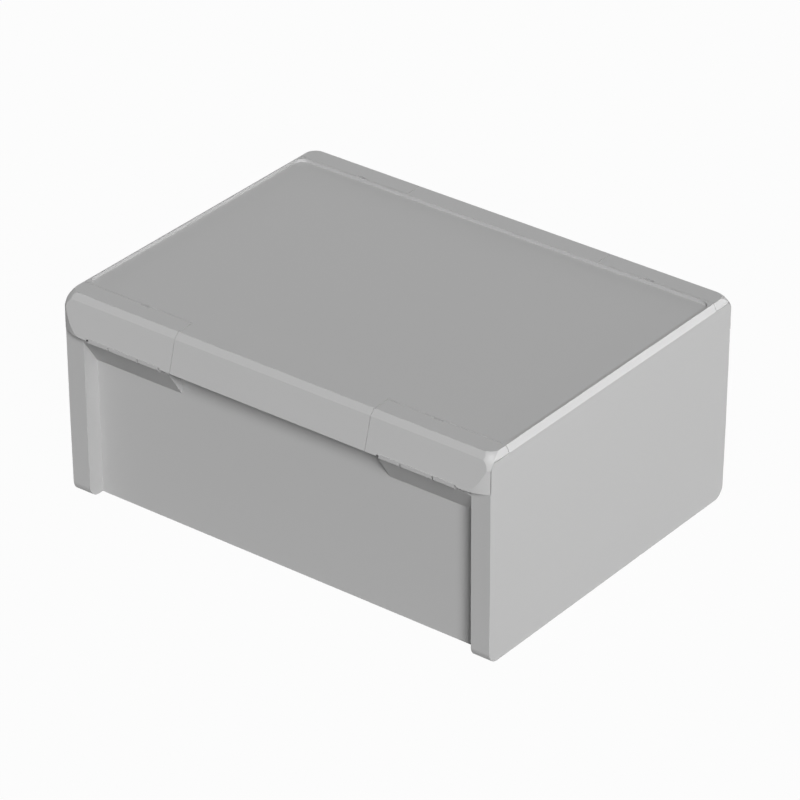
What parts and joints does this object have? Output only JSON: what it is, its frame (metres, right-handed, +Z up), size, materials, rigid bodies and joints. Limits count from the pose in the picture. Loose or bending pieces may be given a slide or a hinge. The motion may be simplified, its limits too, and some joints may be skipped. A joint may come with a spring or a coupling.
{
  "type": "plastic project box",
  "caption": "Deep moulded plastic enclosure with a sunken-panel lid that hinges on snap closures along its long sides, with corner screw channels for wall mounting.",
  "frame": {"origin": "on the underside, under the middle of the closed box", "axes": "+X along the length, +Y from front to back, +Z up through the lid"},
  "size_m": [0.24, 0.1898, 0.106],
  "materials": {
    "shell": "light grey, fine satin mould texture",
    "closure": "light grey, fine satin mould texture, as the shell",
    "seal": "soft black foam rubber"
  },
  "bodies": {
    "base": {"base": "shell"},
    "lid": {"lid": "shell", "lid_gasket": "seal", "back_left_closure": "closure", "back_right_closure": "closure"},
    "front_left_closure": {"front_left_closure": "closure"},
    "front_right_closure": {"front_right_closure": "closure"}
  },
  "joints": [
    {"name": "lid_hinge", "type": "hinge", "parent": "base", "child": "lid", "pos_m": [0, 0.092, 0.0869], "axis": [-1, 0, 0], "range_deg": [0, 110]},
    {"name": "front_left_closure_hinge", "type": "hinge", "parent": "base", "child": "front_left_closure", "pos_m": [-0.0826, -0.092, 0.0869], "axis": [1, 0, 0], "range_deg": [0, 110]},
    {"name": "front_right_closure_hinge", "type": "hinge", "parent": "base", "child": "front_right_closure", "pos_m": [0.0826, -0.092, 0.0869], "axis": [1, 0, 0], "range_deg": [0, 110]}
  ]
}
